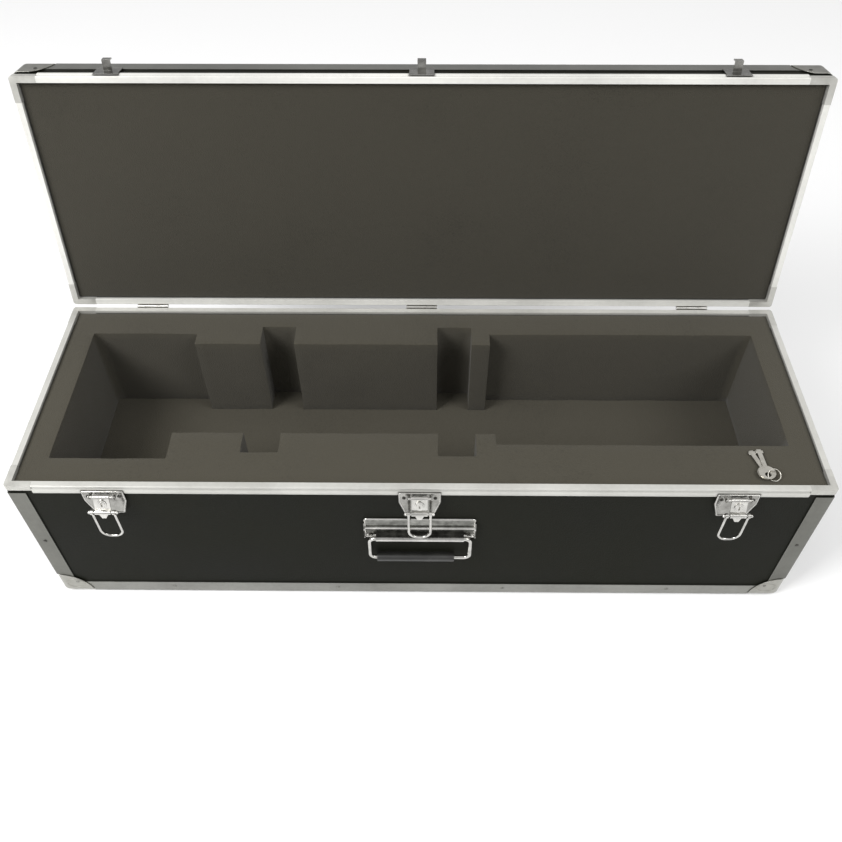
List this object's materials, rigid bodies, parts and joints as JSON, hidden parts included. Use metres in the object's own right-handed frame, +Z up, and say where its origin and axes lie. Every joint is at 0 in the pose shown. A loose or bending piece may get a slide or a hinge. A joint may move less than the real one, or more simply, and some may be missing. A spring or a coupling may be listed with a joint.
{
  "type": "telescope carry case",
  "caption": "Long hinged hard case with aluminium edges, draw latches, a folding handle and foam cut out for a refractor telescope with its mounting rings.",
  "frame": {"origin": "on the floor under the middle of the open case's bounding box, 46.5 mm behind the middle of the base", "axes": "+X to the right along the case, +Y from the front to the hinges, +Z up"},
  "size_m": [1.0544, 0.4719, 0.6039],
  "materials": {
    "black_laminate": "fine pebbled black laminate on plywood",
    "brushed_extrusion": "satin anodised extrusion",
    "bright_rim": "bright satin extrusion",
    "cast_corner": "dull die-cast",
    "corner_steel": "plated pressed steel",
    "rivet_aluminium": "plain rivet",
    "grey_foam": "open-cell charcoal foam",
    "dark_foam": "open-cell charcoal foam",
    "hinge_steel": "plated steel",
    "chrome_hardware": "bright chrome plate",
    "lock_face": "chrome plate with a dark keyway",
    "grip_plastic": "moulded black grip",
    "key_steel": "nickel-plated key"
  },
  "bodies": {
    "base": {"front_panel": "black_laminate", "back_panel": "black_laminate", "left_panel": "black_laminate", "right_panel": "black_laminate", "bottom_panel": "black_laminate", "base_edge_front": "brushed_extrusion", "base_edge_back": "brushed_extrusion", "base_edge_left": "brushed_extrusion", "base_edge_right": "brushed_extrusion", "base_corner_posts": "brushed_extrusion", "base_rim_front": "bright_rim", "base_rim_back": "bright_rim", "base_rim_left": "bright_rim", "base_rim_right": "bright_rim", "base_rim_corners": "cast_corner", "base_ball_corners": "corner_steel", "foam_block": "grey_foam", "foam_floor_pad": "grey_foam", "base_rivets": "rivet_aluminium", "hinge_base_leaves": "hinge_steel", "hinge_pins": "hinge_steel", "latch_plates": "chrome_hardware", "latch_pivot_pins": "chrome_hardware", "handle_bracket": "chrome_hardware"},
    "lid": {"lid_panel": "black_laminate", "lid_side_front": "black_laminate", "lid_side_back": "black_laminate", "lid_side_left": "black_laminate", "lid_side_right": "black_laminate", "lid_edge_front": "brushed_extrusion", "lid_edge_back": "brushed_extrusion", "lid_edge_left": "brushed_extrusion", "lid_edge_right": "brushed_extrusion", "lid_rim_front": "bright_rim", "lid_rim_back": "bright_rim", "lid_rim_left": "bright_rim", "lid_rim_right": "bright_rim", "lid_rim_corners": "cast_corner", "lid_ball_corners": "corner_steel", "lid_foam_pad": "dark_foam", "lid_rivets": "rivet_aluminium", "hinge_lid_leaves": "hinge_steel", "latch_strikes": "chrome_hardware"},
    "lever_left": {"latch_lever_left": "chrome_hardware", "bail_pin_left": "chrome_hardware"},
    "lock_left": {"lock_cylinder_left": "lock_face"},
    "bail_left": {"bail_left": "chrome_hardware"},
    "lever_middle": {"latch_lever_middle": "chrome_hardware", "bail_pin_middle": "chrome_hardware"},
    "lock_middle": {"lock_cylinder_middle": "lock_face"},
    "bail_middle": {"bail_middle": "chrome_hardware"},
    "lever_right": {"latch_lever_right": "chrome_hardware", "bail_pin_right": "chrome_hardware"},
    "lock_right": {"lock_cylinder_right": "lock_face"},
    "bail_right": {"bail_right": "chrome_hardware"},
    "handle": {"handle_frame": "chrome_hardware", "handle_grip": "grip_plastic"},
    "keys": {"keys": "key_steel", "key_ring": "key_steel"}
  },
  "joints": [
    {"name": "lid_hinge", "type": "hinge", "parent": "base", "child": "lid", "pos_m": [0, 0.1241, 0.25825], "axis": [1, 0, 0], "range_deg": [0, 100]},
    {"name": "lever_left_pivot", "type": "hinge", "parent": "base", "child": "lever_left", "pos_m": [-0.402, -0.2219, 0.246], "axis": [1, 0, 0], "range_deg": [-110, 0]},
    {"name": "lock_left_turn", "type": "hinge", "parent": "lever_left", "child": "lock_left", "pos_m": [-0.402, -0.22703, 0.23776], "axis": [0, -0.9397, 0.342], "range_deg": [0, 90]},
    {"name": "bail_left_swing", "type": "hinge", "parent": "lever_left", "child": "bail_left", "pos_m": [-0.402, -0.2327, 0.22801], "axis": [-1, 0, 0], "range_deg": [0, 187.5]},
    {"name": "lever_middle_pivot", "type": "hinge", "parent": "base", "child": "lever_middle", "pos_m": [0, -0.2219, 0.246], "axis": [1, 0, 0], "range_deg": [-110, 0]},
    {"name": "lock_middle_turn", "type": "hinge", "parent": "lever_middle", "child": "lock_middle", "pos_m": [0, -0.22703, 0.23776], "axis": [0, -0.9397, 0.342], "range_deg": [0, 90]},
    {"name": "bail_middle_swing", "type": "hinge", "parent": "lever_middle", "child": "bail_middle", "pos_m": [0, -0.2327, 0.22801], "axis": [-1, 0, 0], "range_deg": [0, 187.5]},
    {"name": "lever_right_pivot", "type": "hinge", "parent": "base", "child": "lever_right", "pos_m": [0.402, -0.2219, 0.246], "axis": [1, 0, 0], "range_deg": [-110, 0]},
    {"name": "lock_right_turn", "type": "hinge", "parent": "lever_right", "child": "lock_right", "pos_m": [0.402, -0.22703, 0.23776], "axis": [0, -0.9397, 0.342], "range_deg": [0, 90]},
    {"name": "bail_right_swing", "type": "hinge", "parent": "lever_right", "child": "bail_right", "pos_m": [0.402, -0.2327, 0.22801], "axis": [-1, 0, 0], "range_deg": [0, 187.5]},
    {"name": "handle_fold", "type": "hinge", "parent": "base", "child": "handle", "pos_m": [0, -0.2189, 0.1505], "axis": [-1, 0, 0], "range_deg": [0, 95]},
    {"name": "keys_lift", "type": "slide", "parent": "base", "child": "keys", "axis": [0, 0, -1], "range_m": [-0.1, 0]}
  ]
}
